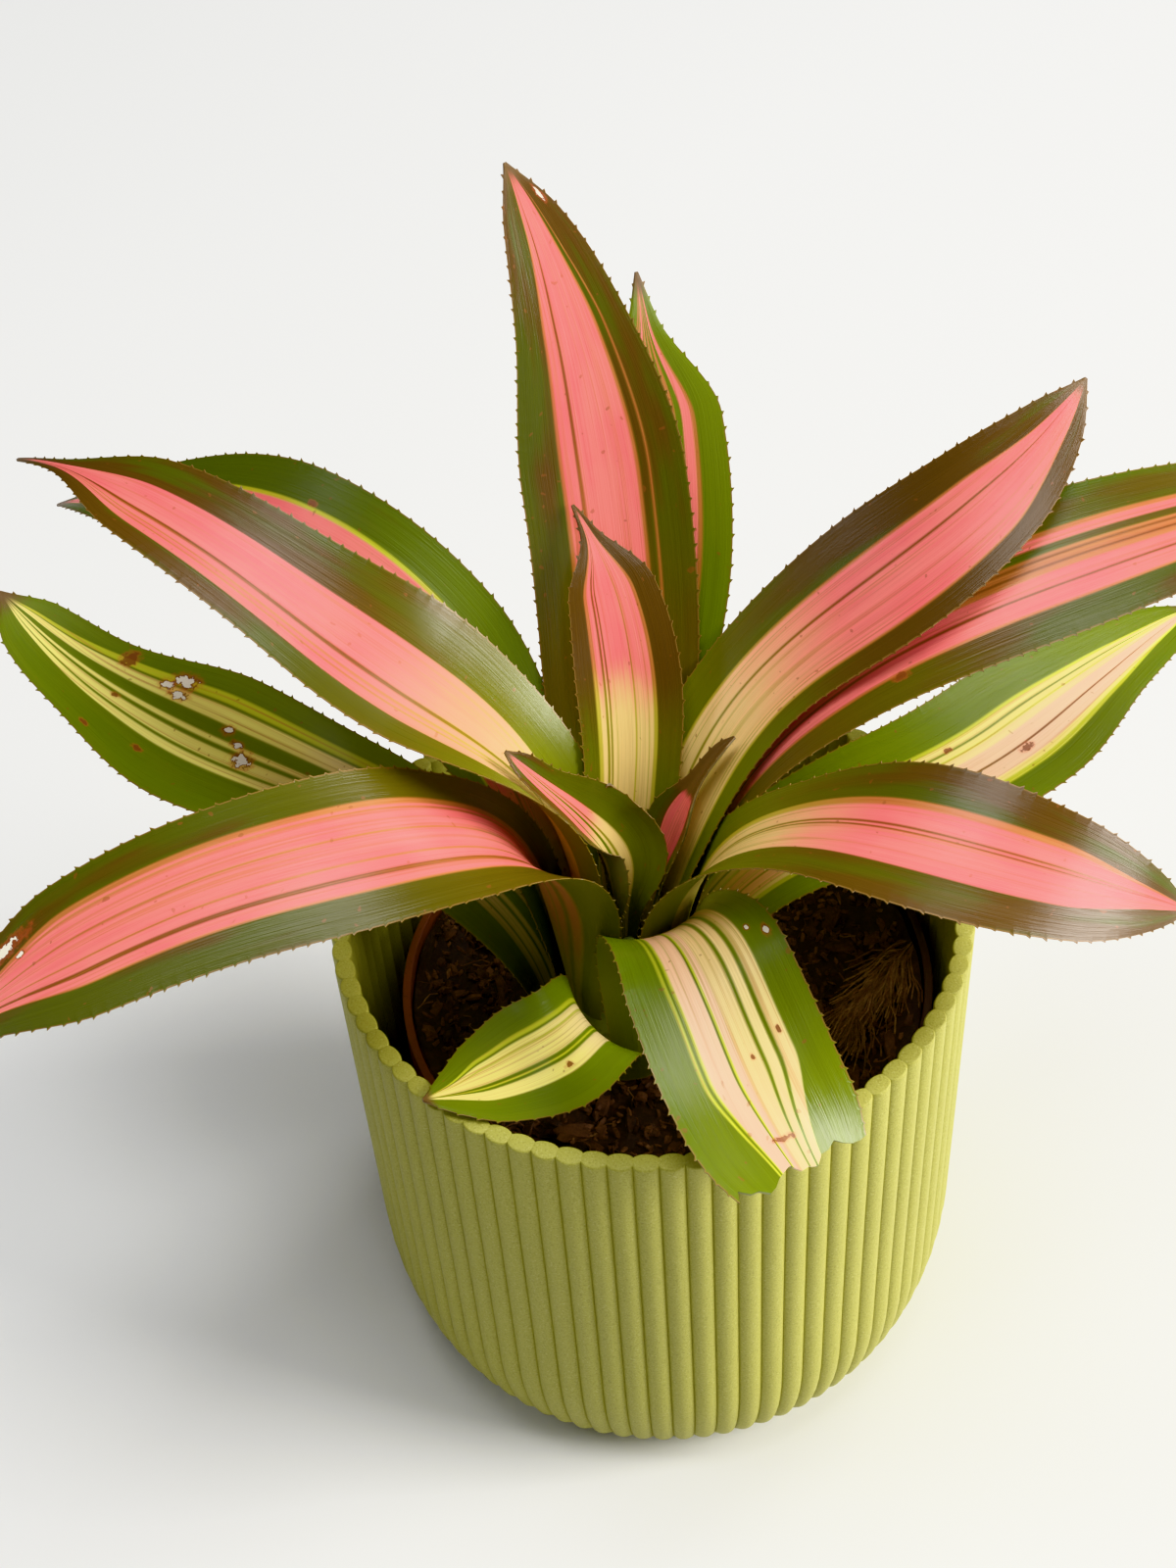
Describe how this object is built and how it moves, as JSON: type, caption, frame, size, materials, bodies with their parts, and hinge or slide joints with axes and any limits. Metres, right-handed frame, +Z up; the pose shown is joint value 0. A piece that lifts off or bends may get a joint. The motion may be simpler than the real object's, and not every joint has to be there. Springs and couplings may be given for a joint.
{
  "type": "potted bromeliad",
  "caption": "Bromeliad rosette of striped, spiny-edged strap leaves on a short stock, in a round grower's pot inside a ribbed cover pot.",
  "frame": {"origin": "centre of the cover pot's flat base, on the surface it stands on", "axes": "+Z up, -Y towards the front of the plant, +X to its right seen from the front"},
  "size_m": [0.3095, 0.2068, 0.247],
  "materials": {
    "cover_pot": "fine-grained matte, olive green",
    "nursery_pot": "satin, terracotta red-brown",
    "potting_mix": "rough peat, bark and coir",
    "stock": "dull green",
    "leaf_pink": "satin, pink band between green margins",
    "leaf_cream": "satin, cream and green stripes",
    "leaf_green": "satin, mostly green"
  },
  "bodies": {
    "root": {"cover_pot": "cover_pot", "nursery_pot": "nursery_pot", "potting_mix": "potting_mix", "stock": "stock", "leaf_curl_front": "leaf_pink", "leaf_curl_right": "leaf_pink", "leaf_core": "leaf_green", "leaf_centre_young": "leaf_pink", "leaf_back_tall": "leaf_pink", "leaf_right_upper": "leaf_pink", "leaf_left_upper": "leaf_pink", "leaf_right_front": "leaf_pink", "leaf_left_front": "leaf_pink", "leaf_right_behind": "leaf_pink", "leaf_left_behind": "leaf_pink", "leaf_back_green": "leaf_green", "leaf_front_bent": "leaf_cream", "leaf_right_low": "leaf_cream", "leaf_left_striped": "leaf_cream", "leaf_front_small": "leaf_cream"}
  },
  "joints": []
}
